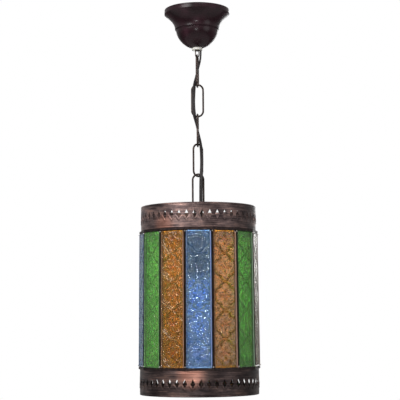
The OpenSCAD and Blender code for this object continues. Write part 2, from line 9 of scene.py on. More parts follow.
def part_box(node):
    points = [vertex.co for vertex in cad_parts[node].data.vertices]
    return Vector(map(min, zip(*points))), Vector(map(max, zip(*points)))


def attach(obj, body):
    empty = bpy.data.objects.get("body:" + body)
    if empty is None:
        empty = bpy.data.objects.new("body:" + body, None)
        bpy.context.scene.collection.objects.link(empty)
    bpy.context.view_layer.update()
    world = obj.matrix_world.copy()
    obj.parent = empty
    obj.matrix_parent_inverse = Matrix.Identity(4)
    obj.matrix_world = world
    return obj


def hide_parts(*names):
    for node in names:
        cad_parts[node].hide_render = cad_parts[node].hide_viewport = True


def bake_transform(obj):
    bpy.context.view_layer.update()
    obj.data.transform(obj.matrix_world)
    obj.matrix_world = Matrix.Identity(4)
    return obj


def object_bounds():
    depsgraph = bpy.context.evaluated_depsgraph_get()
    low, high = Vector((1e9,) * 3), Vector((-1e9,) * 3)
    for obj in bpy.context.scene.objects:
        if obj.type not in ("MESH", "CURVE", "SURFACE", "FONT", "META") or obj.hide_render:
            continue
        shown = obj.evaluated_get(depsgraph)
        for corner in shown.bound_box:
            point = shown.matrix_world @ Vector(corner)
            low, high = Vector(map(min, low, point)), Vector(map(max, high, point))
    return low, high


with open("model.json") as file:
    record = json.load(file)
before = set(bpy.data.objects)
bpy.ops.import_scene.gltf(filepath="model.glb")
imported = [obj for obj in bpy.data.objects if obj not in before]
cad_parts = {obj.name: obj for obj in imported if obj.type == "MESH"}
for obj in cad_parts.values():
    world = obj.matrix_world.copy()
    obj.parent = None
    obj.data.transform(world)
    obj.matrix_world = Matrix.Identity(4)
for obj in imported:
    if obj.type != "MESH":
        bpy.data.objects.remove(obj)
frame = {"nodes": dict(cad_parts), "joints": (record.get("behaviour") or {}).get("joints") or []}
cadLow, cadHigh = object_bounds()
nodes = frame["nodes"]
joints = {j["name"]: j for j in frame["joints"]}
print("frame loaded:", len(nodes), "nodes")

mm = 0.001


def tint(code):  # sRGB hex to the linear colour a shader works in
    parts = [int(code[i:i + 2], 16) / 255 for i in (1, 3, 5)]
    return [p / 12.92 if p <= 0.04045 else ((p + 0.055) / 1.055) ** 2.4 for p in parts] + [1.0]


def perMetre(size):  # texture scale whose features are this many millimetres apart
    return 1000.0 / size


def addNode(tree, kind, values=None, links=None, **settings):
    node = tree.nodes.new(kind)
    for name, value in settings.items():
        setattr(node, name, value)
    for socket, value in (values or {}).items():
        node.inputs[socket].default_value = value
    for socket, source in (links or {}).items():
        tree.links.new(source, node.inputs[socket])
    return node


def setRamp(ramp, stops):  # stops: (place, hex colour)
    row = ramp.color_ramp.elements
    while len(row) < len(stops):
        row.new(0.5)
    for element, (place, code) in zip(row, stops):
        element.position = place
        element.color = tint(code)


def startMaterial(name, sockets):
    material = bpy.data.materials.new(name)
    material.use_nodes = True
    tree = material.node_tree
    shader = tree.nodes["Principled BSDF"]
    for socket, value in sockets.items():
        shader.inputs[socket].default_value = value
    spot = addNode(tree, "ShaderNodeTexCoord")
    return material, tree, shader, spot.outputs["Object"]


def stretched(tree, spot, x, y, z):  # object coordinates scaled apart on each axis
    return addNode(tree, "ShaderNodeMapping", {"Scale": (x, y, z)}, {"Vector": spot}).outputs[0]


def addBump(tree, shader, height, strength, depth, before=None):
    links = {"Height": height}
    if before is not None:
        links["Normal"] = before
    bump = addNode(tree, "ShaderNodeBump", {"Strength": strength, "Distance": depth}, links)
    tree.links.new(bump.outputs[0], shader.inputs["Normal"])
    return bump.outputs[0]


# The camera, at the height of the lamp's chain, looking up a little

cameraSet = {"lens": 106.65, "sideways": 2.95 * mm, "away": 2.0, "height": -0.5395,
             "pitch": 6.02, "roll": -0.42}


def makeCamera(s):
    data = bpy.data.cameras.new("lampCamera")
    data.lens, data.sensor_width = s["lens"], 36
    data.clip_start, data.clip_end = 0.05, 60
    camera = bpy.data.objects.new("lampCamera", data)
    bpy.context.scene.collection.objects.link(camera)
    look = Matrix.Rotation(math.radians(90 + s["pitch"]), 4, "X")
    turn = Matrix.Rotation(math.radians(s["roll"]), 4, "Z")
    camera.matrix_world = Matrix.Translation((s["sideways"], -s["away"], s["height"])) @ look @ turn
    bpy.context.scene.camera = camera


makeCamera(cameraSet)
print("camera set")


def gridQuads(rows, columns, wrap):  # quads of a grid of points; wrap joins the last column to the first
    r = np.arange(rows - 1)[:, None]
    c = np.arange(columns if wrap else columns - 1)[None, :]
    n = (c + 1) % columns
    return np.stack([r * columns + c, r * columns + n, (r + 1) * columns + n,
                     (r + 1) * columns + c], -1).reshape(-1, 4)


def makePiece(name, points, faces, material, body=None, stands=(), sharp=38,
              merge=0.0, marks=None, outward=False):
    mesh = bpy.data.meshes.new(name)
    mesh.from_pydata(points.tolist(), [], [list(f) for f in faces])
    for mark, values in (marks or {}).items():
        mesh.attributes.new(mark, "FLOAT", "POINT").data.foreach_set("value", values.astype(np.float32))
    if merge or outward:
        work = bmesh.new()
        work.from_mesh(mesh)
        if merge:
            bmesh.ops.remove_doubles(work, verts=work.verts, dist=merge)
        if outward:
            bmesh.ops.recalc_face_normals(work, faces=work.faces)
        work.to_mesh(mesh)
        work.free()
    mesh.polygons.foreach_set("use_smooth", np.ones(len(mesh.polygons), bool))
    mesh.set_sharp_from_angle(angle=math.radians(sharp))
    mesh.materials.append(material)
    mesh.update()
    piece = bpy.data.objects.new(name, mesh)
    bpy.context.scene.collection.objects.link(piece)
    if body:
        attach(piece, body)
    for node in stands:
        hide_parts(node)
    return piece


def dress(material, *names):  # a CAD node keeps its shape and gets this material
    for name in names:
        nodes[name].data.materials.clear()
        nodes[name].data.materials.append(material)


# stoved lacquer on spun steel: almost black plum, wet gloss, faint orange peel
def makeLacquer():
    material, tree, shader, spot = startMaterial("stovedPlumLacquerOnSpunSteel", {
        "Metallic": 0.0, "Roughness": 0.4, "IOR": 1.5, "Specular IOR Level": 0.06,
        "Coat Weight": 0.3, "Coat Roughness": 0.24, "Coat IOR": 1.5})
    cloud = addNode(tree, "ShaderNodeTexNoise", {"Scale": perMetre(22), "Detail": 5.0}, {"Vector": spot})
    ramp = addNode(tree, "ShaderNodeValToRGB", None, {"Fac": cloud.outputs[0]})
    setRamp(ramp, [(0.3, "#1a0c10"), (0.55, "#27141a"), (0.8, "#3a222a")])
    tree.links.new(ramp.outputs[0], shader.inputs["Base Color"])
    peel = addNode(tree, "ShaderNodeTexNoise", {"Scale": perMetre(1.6), "Detail": 2.0}, {"Vector": spot})
    addBump(tree, shader, peel.outputs[0], 0.05, 0.1 * mm)
    return material


# blackened bent steel wire: dark brown-black, satin, worn brighter in small rubbed places
def makeBlackWire():
    material, tree, shader, spot = startMaterial("blackenedBentSteelWire", {"Metallic": 0.85})
    rub = addNode(tree, "ShaderNodeTexNoise", {"Scale": perMetre(9), "Detail": 6.0, "Roughness": 0.6},
                  {"Vector": spot})
    ramp = addNode(tree, "ShaderNodeValToRGB", None, {"Fac": rub.outputs[0]})
    setRamp(ramp, [(0.35, "#2b2422"), (0.6, "#453a36"), (0.78, "#75655d")])
    tree.links.new(ramp.outputs[0], shader.inputs["Base Color"])
    rough = addNode(tree, "ShaderNodeMapRange", {"To Min": 0.46, "To Max": 0.28}, {"Value": rub.outputs[0]})
    tree.links.new(rough.outputs[0], shader.inputs["Roughness"])
    scale = addNode(tree, "ShaderNodeTexNoise", {"Scale": perMetre(0.8), "Detail": 3.0}, {"Vector": spot})
    addBump(tree, shader, scale.outputs[0], 0.25, 0.15 * mm)
    return material


# where the copper is rubbed clean and a painted highlight lies on it: the middle of each place and how far
# it reaches
rubbedAndHighlitPlaces = [((-58 * mm, -80 * mm, -376 * mm), 24 * mm), ((-14 * mm, -100 * mm, -617 * mm), 30 * mm)]


# antiqued copper sheet, brushed round the band: brown with pink copper streaks rubbed through; painted shade
# darkens the lower ring and the right-hand side, and painted highlights lie in two rubbed places
def makeAntiqueCopper():
    material, tree, shader, spot = startMaterial("antiquedBrushedCopperSheet", {"Metallic": 0.8})
    brush = addNode(tree, "ShaderNodeTexNoise", {"Scale": 1.0, "Detail": 4.0, "Roughness": 0.62},
                    {"Vector": stretched(tree, spot, 24, 24, perMetre(1.5))})
    cloud = addNode(tree, "ShaderNodeTexNoise", {"Scale": 1.0, "Detail": 5.0, "Roughness": 0.6},
                    {"Vector": stretched(tree, spot, 26, 26, 70)})
    both = addNode(tree, "ShaderNodeMath", {1: 0.45}, {0: brush.outputs[0]}, operation="MULTIPLY")
    tone = addNode(tree, "ShaderNodeMath", {1: 0.55}, {0: cloud.outputs[0], 2: both.outputs[0]},
                   operation="MULTIPLY_ADD")
    ramp = addNode(tree, "ShaderNodeValToRGB", None, {"Fac": tone.outputs[0]})
    setRamp(ramp, [(0.36, "#241b1d"), (0.46, "#4a3c3c"), (0.54, "#6f5c59"), (0.66, "#a88376")])
    split = addNode(tree, "ShaderNodeSeparateXYZ", None, {0: spot})
    # painted shade: the lower ring is darkened to 0.52 and the right-hand side to 0.62 of the tone
    low = addNode(tree, "ShaderNodeMapRange", {"From Min": -0.5, "From Max": -0.52, "To Min": 1.0,
                                               "To Max": 0.52}, {"Value": split.outputs[2]})
    right = addNode(tree, "ShaderNodeMapRange", {"From Min": -0.03, "From Max": 0.1, "To Min": 1.0,
                                                 "To Max": 0.62}, {"Value": split.outputs[0]})
    paintedShade = addNode(tree, "ShaderNodeMath", None, {0: low.outputs[0], 1: right.outputs[0]},
                     operation="MULTIPLY")
    paintedShadeTone = addNode(tree, "ShaderNodeVectorMath", None, {0: ramp.outputs[0], 3: paintedShade.outputs[0]},
                   operation="SCALE")
    near = []
    for place, reach in rubbedAndHighlitPlaces:
        away = addNode(tree, "ShaderNodeVectorMath", {1: place}, {0: spot}, operation="DISTANCE")
        near.append(addNode(tree, "ShaderNodeMapRange", {"From Min": reach, "From Max": reach * 0.3,
                                                         "To Min": 0.0, "To Max": 0.62},
                            {"Value": away.outputs["Value"]}, interpolation_type="SMOOTHSTEP"))
    rubbed = addNode(tree, "ShaderNodeMath", None, {0: near[0].outputs[0], 1: near[1].outputs[0]},
                     operation="MAXIMUM")
    streak = addNode(tree, "ShaderNodeMath", None, {0: rubbed.outputs[0], 1: brush.outputs[0]},
                     operation="MULTIPLY")
    # pink copper in the rubbed places: rubbed copper and painted highlight together
    mix = addNode(tree, "ShaderNodeMix", None, {0: streak.outputs[0], 6: paintedShadeTone.outputs[0]}, data_type="RGBA")
    mix.inputs[7].default_value = tint("#d3917a")
    tree.links.new(mix.outputs[2], shader.inputs["Base Color"])
    rough = addNode(tree, "ShaderNodeMapRange", {"To Min": 0.52, "To Max": 0.32}, {"Value": tone.outputs[0]})
    tree.links.new(rough.outputs[0], shader.inputs["Roughness"])
    fine = addNode(tree, "ShaderNodeTexNoise", {"Scale": 1.0, "Detail": 2.0},
                   {"Vector": stretched(tree, spot, 60, 60, perMetre(0.7))})
    addBump(tree, shader, fine.outputs[0], 0.3, 0.12 * mm)
    return material


# folded copper came, chemically darkened: nearly black, dull, brown where handled
def makeDarkCame():
    material, tree, shader, spot = startMaterial("darkenedFoldedCopperCame", {
        "Metallic": 0.7, "Roughness": 0.5})
    grain = addNode(tree, "ShaderNodeTexNoise", {"Scale": perMetre(4), "Detail": 6.0}, {"Vector": spot})
    ramp = addNode(tree, "ShaderNodeValToRGB", None, {"Fac": grain.outputs[0]})
    setRamp(ramp, [(0.35, "#140d0c"), (0.6, "#2a1c1a"), (0.8, "#5a3d35")])
    tree.links.new(ramp.outputs[0], shader.inputs["Base Color"])
    addBump(tree, shader, grain.outputs[0], 0.3, 0.2 * mm)
    return material


# small beads of tin solder: bright grey, soft skin with dull islands
def makeSolder():
    material, tree, shader, spot = startMaterial("frozenTinSolder", {"Metallic": 0.9, "Roughness": 0.34})
    skin = addNode(tree, "ShaderNodeTexNoise", {"Scale": perMetre(0.9), "Detail": 4.0}, {"Vector": spot})
    ramp = addNode(tree, "ShaderNodeValToRGB", None, {"Fac": skin.outputs[0]})
    setRamp(ramp, [(0.35, "#8d857f"), (0.7, "#d9d3cc")])
    tree.links.new(ramp.outputs[0], shader.inputs["Base Color"])
    addBump(tree, shader, skin.outputs[0], 0.35, 0.1 * mm)
    return material


# bright zinc plate on pressed steel: pale, slightly blue, faint rolling lines
def makeZinc():
    material, tree, shader, spot = startMaterial("zincPlatedPressedSteel", {
        "Metallic": 1.0, "Roughness": 0.32})
    lines = addNode(tree, "ShaderNodeTexNoise", {"Scale": 1.0, "Detail": 3.0},
                    {"Vector": stretched(tree, spot, 40, perMetre(0.8), 300)})
    ramp = addNode(tree, "ShaderNodeValToRGB", None, {"Fac": lines.outputs[0]})
    setRamp(ramp, [(0.3, "#a9acb0"), (0.7, "#cfd1d3")])
    tree.links.new(ramp.outputs[0], shader.inputs["Base Color"])
    addBump(tree, shader, lines.outputs[0], 0.15, 0.1 * mm)
    return material


# turned brass: warm yellow, fine lathe rings
def makeTurnedBrass():
    material, tree, shader, spot = startMaterial("turnedYellowBrass", {"Metallic": 1.0, "Roughness": 0.28})
    rings = addNode(tree, "ShaderNodeTexNoise", {"Scale": 1.0, "Detail": 3.0},
                    {"Vector": stretched(tree, spot, 60, 60, perMetre(0.6))})
    ramp = addNode(tree, "ShaderNodeValToRGB", None, {"Fac": rings.outputs[0]})
    setRamp(ramp, [(0.3, "#b08f4e"), (0.7, "#d8bb78")])
    tree.links.new(ramp.outputs[0], shader.inputs["Base Color"])
    addBump(tree, shader, rings.outputs[0], 0.2, 0.08 * mm)
    return material


# moulded natural nylon: milky white, light glows a little way into it
def makeNylon():
    material, tree, shader, spot = startMaterial("mouldedNaturalNylon", {
        "Roughness": 0.42, "IOR": 1.53, "Subsurface Weight": 0.35, "Subsurface Scale": 1.5 * mm,
        "Subsurface Radius": (1.0, 0.9, 0.75)})
    flow = addNode(tree, "ShaderNodeTexNoise", {"Scale": perMetre(6), "Detail": 3.0}, {"Vector": spot})
    ramp = addNode(tree, "ShaderNodeValToRGB", None, {"Fac": flow.outputs[0]})
    setRamp(ramp, [(0.3, "#dcd9d0"), (0.7, "#efede6")])
    tree.links.new(ramp.outputs[0], shader.inputs["Base Color"])
    addBump(tree, shader, flow.outputs[0], 0.1, 0.2 * mm)
    return material


# compression-moulded black phenolic: deep black, low gloss, faint flow marks
def makePhenolic():
    material, tree, shader, spot = startMaterial("mouldedBlackPhenolic", {"Roughness": 0.36, "IOR": 1.6})
    flow = addNode(tree, "ShaderNodeTexNoise", {"Scale": perMetre(7), "Detail": 5.0}, {"Vector": spot})
    ramp = addNode(tree, "ShaderNodeValToRGB", None, {"Fac": flow.outputs[0]})
    setRamp(ramp, [(0.3, "#0b0a0a"), (0.75, "#1d1a19")])
    tree.links.new(ramp.outputs[0], shader.inputs["Base Color"])
    addBump(tree, shader, flow.outputs[0], 0.1, 0.2 * mm)
    return material


# glazed electrical porcelain: warm white under a glassy coat
def makePorcelain():
    material, tree, shader, spot = startMaterial("glazedElectricalPorcelain", {
        "Roughness": 0.35, "Coat Weight": 0.8, "Coat Roughness": 0.06})
    cloud = addNode(tree, "ShaderNodeTexNoise", {"Scale": perMetre(8), "Detail": 4.0}, {"Vector": spot})
    ramp = addNode(tree, "ShaderNodeValToRGB", None, {"Fac": cloud.outputs[0]})
    setRamp(ramp, [(0.3, "#dcd5c6"), (0.7, "#ece7dc")])
    tree.links.new(ramp.outputs[0], shader.inputs["Base Color"])
    addBump(tree, shader, cloud.outputs[0], 0.08, 0.2 * mm)
    return material


# extruded PVC flex: dark brown, soft satin, faint drawn lines along it
def makeFlexPvc():
    material, tree, shader, spot = startMaterial("extrudedBrownPvcFlex", {
        "Roughness": 0.44, "IOR": 1.53, "Specular IOR Level": 0.3})
    drawn = addNode(tree, "ShaderNodeTexNoise", {"Scale": 1.0, "Detail": 4.0},
                    {"Vector": stretched(tree, spot, perMetre(1.4), perMetre(1.4), 25)})
    ramp = addNode(tree, "ShaderNodeValToRGB", None, {"Fac": drawn.outputs[0]})
    setRamp(ramp, [(0.3, "#120c0d"), (0.6, "#1c1415"), (0.8, "#2e2324")])
    tree.links.new(ramp.outputs[0], shader.inputs["Base Color"])
    addBump(tree, shader, drawn.outputs[0], 0.2, 0.15 * mm)
    return material


# extruded PVC core insulation: blue on one side of the lamp's axis, brown on the other
def makeCorePvc(name, along):
    material, tree, shader, spot = startMaterial(name, {"Roughness": 0.3, "IOR": 1.53})
    split = addNode(tree, "ShaderNodeSeparateXYZ", None, {0: spot})
    side = addNode(tree, "ShaderNodeMath", {1: 0.0}, {0: split.outputs[along]}, operation="GREATER_THAN")
    speck = addNode(tree, "ShaderNodeTexNoise", {"Scale": perMetre(1.5), "Detail": 3.0}, {"Vector": spot})
    mix = addNode(tree, "ShaderNodeMix", None, {0: side.outputs[0]}, data_type="RGBA")
    mix.inputs[6].default_value, mix.inputs[7].default_value = tint("#6b4026"), tint("#2b4a8c")
    tree.links.new(mix.outputs[2], shader.inputs["Base Color"])
    addBump(tree, shader, speck.outputs[0], 0.1, 0.1 * mm)
    return material


# Pressed coloured glass: stippled face that scatters what is behind, ground pale edges
glassTints = {
    "blue": {"deep": "#5f9ef6", "pale": "#b2e0ff", "edge": "#8292c8", "foil": "#0c0812",
             "bloom": "#9fb4f0", "scored": 1.0, "fleck": 0.8},
    "amber": {"deep": "#c87612", "pale": "#fab646", "edge": "#b58f80", "foil": "#140806",
              "bloom": "#ff8436", "scored": 0.5, "fleck": 0.6},
    "green": {"deep": "#70dc58", "pale": "#b4ff92", "edge": "#93a892", "foil": "#0a0c0a",
              "bloom": "#ccffae", "scored": 0.5, "fleck": 0.6},
    "clear": {"deep": "#d6b184", "pale": "#fbe8c8", "edge": "#b9a69e", "foil": "#1c1210",
              "bloom": "#ffd9a8", "scored": 0.7, "fleck": 0.6},
}


def makePressedGlass(name, colours):
    material, tree, shader, spot = startMaterial("pressed" + name.capitalize() + "CathedralGlass", {
        "IOR": 1.5, "Roughness": 0.14, "Specular IOR Level": 0.13})
    streak = addNode(tree, "ShaderNodeTexNoise", {"Scale": perMetre(6), "Detail": 5.0, "Roughness": 0.65},
                     {"Vector": spot})
    ramp = addNode(tree, "ShaderNodeValToRGB", None, {"Fac": streak.outputs[0]})
    setRamp(ramp, [(0.34, colours["deep"]), (0.64, colours["pale"])])
    stipple = addNode(tree, "ShaderNodeTexVoronoi", {"Scale": perMetre(2.9), "Randomness": 1.0},
                      {"Vector": spot}, feature="DISTANCE_TO_EDGE")
    pit = addNode(tree, "ShaderNodeMapRange", {"From Min": 0.02, "From Max": 0.3, "To Min": 0.45,
                                               "To Max": 1.0}, {"Value": stipple.outputs["Distance"]},
                  interpolation_type="SMOOTHSTEP")
    bloom = addNode(tree, "ShaderNodeAttribute", attribute_name="bloom")
    star = addNode(tree, "ShaderNodeMix", None, {0: bloom.outputs["Fac"], 6: ramp.outputs[0]},
                   data_type="RGBA")
    star.inputs[7].default_value = tint(colours["bloom"])
    # body scales the colour down: per-strip painted shade
    body = addNode(tree, "ShaderNodeAttribute", attribute_name="body")
    both = addNode(tree, "ShaderNodeMath", None, {0: pit.outputs[0], 1: body.outputs["Fac"]},
                   operation="MULTIPLY")
    pitted = addNode(tree, "ShaderNodeVectorMath", None, {0: star.outputs[2], 3: both.outputs[0]},
                     operation="SCALE")
    scored = addNode(tree, "ShaderNodeAttribute", attribute_name="groove")
    line = addNode(tree, "ShaderNodeMath", {1: colours["scored"]}, {0: scored.outputs["Fac"]},
                   operation="MULTIPLY")
    # dark flecks, the deeper pits of the stipple, strewn without order
    pits = addNode(tree, "ShaderNodeTexVoronoi", {"Scale": perMetre(5.2), "Randomness": 1.0},
                   {"Vector": spot})
    fleck = addNode(tree, "ShaderNodeMapRange", {"From Min": 0.34, "From Max": 0.16, "To Min": 0.0,
                                                 "To Max": colours["fleck"]},
                    {"Value": pits.outputs["Distance"]}, interpolation_type="SMOOTHSTEP")
    groove = addNode(tree, "ShaderNodeMath", None, {0: line.outputs[0], 1: fleck.outputs[0]},
                     operation="MAXIMUM")
    dark = addNode(tree, "ShaderNodeMix", None, {0: groove.outputs[0], 6: pitted.outputs[0]},
                   data_type="RGBA")
    dark.inputs[7].default_value = [c * 0.06 for c in tint(colours["deep"])[:3]] + [1]
    # the pale ground edge, lighter on one side of each strip by a painted glint
    edge = addNode(tree, "ShaderNodeAttribute", attribute_name="edge")
    pale = addNode(tree, "ShaderNodeMix", None, {0: edge.outputs["Fac"], 6: dark.outputs[2]},
                   data_type="RGBA")
    pale.inputs[7].default_value = tint(colours["edge"])
    foil = addNode(tree, "ShaderNodeAttribute", attribute_name="foil")
    rim = addNode(tree, "ShaderNodeMix", None, {0: foil.outputs["Fac"], 6: pale.outputs[2]},
                  data_type="RGBA")
    rim.inputs[7].default_value = tint(colours["foil"])
    tree.links.new(rim.outputs[2], shader.inputs["Base Color"])
    # light passes the face but not the foil, and only half of it the ground edge
    stop = addNode(tree, "ShaderNodeMath", {1: 0.55}, {0: edge.outputs["Fac"], 2: foil.outputs["Fac"]},
                   operation="MULTIPLY_ADD")
    shade = addNode(tree, "ShaderNodeMath", {1: 0.7}, {0: groove.outputs[0], 2: stop.outputs[0]},
                    operation="MULTIPLY_ADD")
    clear = addNode(tree, "ShaderNodeMapRange", {"To Min": 0.92, "To Max": 0.0},
                    {"Value": shade.outputs[0]})
    tree.links.new(clear.outputs[0], shader.inputs["Transmission Weight"])
    first = addBump(tree, shader, stipple.outputs["Distance"], 0.45, 0.8 * mm)
    wave = addNode(tree, "ShaderNodeTexNoise", {"Scale": perMetre(4), "Detail": 3.0}, {"Vector": spot})
    addBump(tree, shader, wave.outputs[0], 0.4, 1.0 * mm, first)
    return material


lacquer = makeLacquer()
blackWire = makeBlackWire()
antiqueCopper = makeAntiqueCopper()
darkCame = makeDarkCame()
solder = makeSolder()
zinc = makeZinc()
turnedBrass = makeTurnedBrass()
nylon = makeNylon()
phenolic = makePhenolic()
porcelain = makePorcelain()
flexPvc = makeFlexPvc()
glass = {name: makePressedGlass(name, colours) for name, colours in glassTints.items()}
print("materials mixed")

dress(zinc, "ceiling_strap", "collar_screw", "nipple_washer")
dress(turnedBrass, "strap_nuts", "terminal_screws", "nipple", "nipple_nut", "holder_shell",
      "centre_contact", "contact_screws")
dress(nylon, "cord_collar", "terminal_block")
dress(phenolic, "holder_cap", "holder_sleeve")
dress(porcelain, "holder_base")
dress(makeCorePvc("extrudedSupplyCorePvc", 1), "supply_cores")
dress(makeCorePvc("extrudedHolderCorePvc", 0), "holder_cores")
dress(blackWire, "eye_bolt", "link_1", "link_2", "link_3", "link_4", "link_5", "hanging_eye", "cross_bar")
dress(antiqueCopper, "bar_rivets")
dress(darkCame, "top_rail", "bottom_rail", "uprights")
dress(solder, "corner_solder")


# The flex: flat twin cord threaded down through the chain

flexShape = {"width": 5.8, "thickness": 3.5, "groove": 0.34, "perStep": 5, "around": 28,
             "firstBend": (9, -15), "bend": (13, -13)}  # from where to where over a hinge the real cord bends
# x, y, z in millimetres and the turn of the wide side from +X
flexRoute = [
    [6.0, 0.0, -24, 90], [6.0, 0.0, -40, 90], [6.0, 0.0, -56, 90], [6.0, 0.0, -72, 90],
    [5.6, 0.0, -82, 90], [4.4, -0.2, -90, 90], [2.4, -0.4, -98, 90], [0.0, -0.6, -107, 86],
    [-2.2, -1.4, -116, 78], [-4.0, -3.0, -124, 66], [-5.2, -4.9, -131, 50], [-5.8, -5.2, -138, 30],
    [-6.5, -4.8, -147, 10], [-7.0, -4.5, -160, 0], [-6.7, -4.6, -171, 0], [-6.0, -5.0, -179, 15],
    [-5.0, -4.8, -187, 40], [-3.0, -2.4, -196, 75], [-0.2, -0.3, -208, 90], [2.6, -0.8, -220, 80],
    [4.4, -2.2, -230, 60], [5.4, -2.8, -239, 40], [6.2, -2.8, -250, 20], [6.4, -2.8, -262, 10],
    [6.2, -3.6, -273, 5], [5.7, -5.2, -282, 0], [5.2, -6.0, -291, 0], [4.8, -6.0, -302, 0],
    [4.6, -6.0, -316, 0], [4.5, -6.2, -330, 0], [4.3, -6.2, -339, 0], [3.4, -4.8, -348, -5],
    [1.6, -2.2, -357, -10], [0.3, -0.4, -366, -12], [0.0, 0.0, -376, -12], [0.0, 0.0, -392, -12]]


def smoothRoute(points, steps):  # uniform Catmull-Rom curve through the points, steps for each gap
    p = np.array(points, float)
    p = np.vstack([p[:1], p, p[-1:]])
    t = (np.arange(steps) / steps)[None, :, None]
    a, b, c, d = p[:-3, None], p[1:-2, None], p[2:-1, None], p[3:, None]
    line = 0.5 * (2 * b + (c - a) * t + (2 * a - 5 * b + 4 * c - d) * t ** 2
                  + (3 * b - a - 3 * c + d) * t ** 3)
    return np.vstack([line.reshape(-1, p.shape[1]), p[-1:]])


def flexRings(line, s):
    # round-sided section: half width times cos, half thickness times sin to the power 0.8, pinched
    # along the middle of both wide faces; set square to the line and turned with it
    tangent = np.gradient(line[:, :3], axis=0)
    tangent /= np.linalg.norm(tangent, axis=1)[:, None]
    turn = np.radians(line[:, 3])
    wide = np.stack([np.cos(turn), np.sin(turn), 0 * turn], 1)
    wide -= (wide * tangent).sum(1)[:, None] * tangent
    wide /= np.linalg.norm(wide, axis=1)[:, None]
    thin = np.cross(tangent, wide)
    a = 2 * np.pi * np.arange(s["around"]) / s["around"]
    u = s["width"] / 2 * np.cos(a)
    v = s["thickness"] / 2 * np.sign(np.sin(a)) * np.abs(np.sin(a)) ** 0.8
    v *= 1 - s["groove"] * np.exp(-(u / 0.55) ** 2)
    return line[:, None, :3] + u[None, :, None] * wide[:, None] + v[None, :, None] * thin[:, None]


def makeFlex(s, route):
    line = smoothRoute(route, s["perStep"])
    rings = flexRings(line, s)
    hinges = [joints["link_%d_swing" % k] for k in range(1, 6)] + [joints["lantern_swing"]]
    seats = [j["pos_m"][2] / mm for j in hinges]
    # one run round each hinge, cut half-way between neighbouring hinges
    cuts = [int(np.argmax(line[:, 2] <= (a + b) / 2)) for a, b in zip(seats, seats[1:])]
    cuts = [0] + cuts + [len(line) - 1]
    for k, hinge in enumerate(hinges):
        first, last = cuts[k], cuts[k + 1]
        run = rings[first:last + 1]
        rows, around = run.shape[:2]
        quads = gridQuads(rows, around, True)
        start = [list(range(around))[::-1]]
        end = [[(rows - 1) * around + i for i in range(around)]]
        piece = makePiece("flexRun%d" % (k + 1), run.reshape(-1, 3) * mm,
                          [q[::-1] for q in quads.tolist()] + [r[::-1] for r in start + end],
                          flexPvc, stands=("cable",), sharp=60)
        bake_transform(piece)


makeFlex(flexShape, flexRoute)
print("flex threaded")


# The canopy: spun sheet turned about Z

canopyShape = {"sheet": 0.9, "band": 7.5, "waist": 38.0, "waistDown": 33.5, "ledge": 1.8,
               "ledgeDown": 0.8, "hole": 8.9, "bead": 0.55, "around": 160}


def canopyProfile(s, radius, height):
    # down the outside: straight band with a rolled lip, hollow parabola to the waist, bead,
    # full dome r = hole + width * cos^1.35, z = ledge - height * sin^1.08; then back up the inside,
    # set in square to the surface by the sheet
    roll = np.linspace(0, 1, 7)
    band = np.stack([radius - 0.5 * np.exp(-((roll - 0.12) / 0.12) ** 2), -s["band"] * roll], 1)
    t = np.linspace(1, 0, 26)
    wide, deep = radius - s["waist"], s["waistDown"] - s["band"]
    flare = np.stack([s["waist"] + wide * t ** 2, -s["waistDown"] + deep * t], 1)
    b = np.linspace(0, np.pi, 9)
    bead = np.stack([s["waist"] - 0.9 + s["bead"] * np.sin(b),
                     -s["waistDown"] - 0.4 - 0.5 * (1 - np.cos(b)) / 2], 1)
    c = np.radians(np.linspace(2, 90, 30))
    domeWide = s["waist"] - s["ledge"] - s["hole"]
    domeDeep = height - s["waistDown"] - s["ledgeDown"]
    dome = np.stack([s["hole"] + domeWide * np.maximum(np.cos(c), 0) ** 1.35,
                     -s["waistDown"] - s["ledgeDown"] - domeDeep * np.sin(c) ** 1.08], 1)
    outside = np.vstack([band, flare[1:], bead, dome])
    plain = np.vstack([band[[0, -1]], flare[1:], dome])
    run = np.gradient(plain, axis=0)
    run /= np.linalg.norm(run, axis=1)[:, None]
    inside = plain + s["sheet"] * np.stack([run[:, 1], -run[:, 0]], 1)
    inside[:, 0] = np.minimum(inside[:, 0], radius - s["sheet"])
    inside[0] = [radius - s["sheet"], 0]
    inside[-1] = [s["hole"], -height + s["sheet"]]
    return np.vstack([outside, inside[::-1]])


def makeCanopy(s):
    low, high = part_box("canopy")
    loop = canopyProfile(s, high.x / mm, -low.z / mm)
    a = 2 * np.pi * np.arange(s["around"]) / s["around"]
    points = np.stack([loop[:, None, 0] * np.cos(a), loop[:, None, 0] * np.sin(a),
                       loop[:, None, 1] + 0 * a], -1).reshape(-1, 3)
    rows = np.vstack([points, points[:s["around"]]])
    quads = gridQuads(len(loop) + 1, s["around"], True) % len(points)
    makePiece("canopyShell", points * mm, quads.tolist(), lacquer, "canopy", ("canopy",),
              sharp=50, outward=True)


makeCanopy(canopyShape)
print("canopy spun")


# The pierced rings: sheet bands with diamond holes, a pressed zigzag and a hem line

ringShape = {"sheet": 0.8, "holes": 48, "wide": 7.5, "tall": 15.5, "cell": 12.0, "hem": 2.8,
             "ridge": 0.6, "turns": {"top_ring": 3.6, "bottom_ring": 1.4},
             "rise": {"top_ring": 1.0, "bottom_ring": 0.0}}


def ringRelief(x, z, half, above, below, s):
    # pressed out: a zigzag that dips under each hole and rises between them, a soft lip round the
    # hole; pressed in: the hem lines near both edges. x is along the band from the hole's middle
    dip = -9.6 + 8.6 * np.abs(x) / half
    slope = math.hypot(1, 8.6 / half)
    ridge = s["ridge"] * np.exp(-((z - dip) / slope / 0.75) ** 2)
    ring = np.abs(x) / (s["wide"] / 2) + np.abs(z) / (s["tall"] / 2)
    lip = 0.22 * np.exp(-((ring - 1.0) / 0.22) ** 2)
    edge = np.minimum(above - z, below + z)
    hem = -0.28 * np.exp(-((edge - s["hem"]) / 0.5) ** 2) - 0.5 * np.exp(-(edge / 0.45) ** 2)
    return ridge + lip + hem


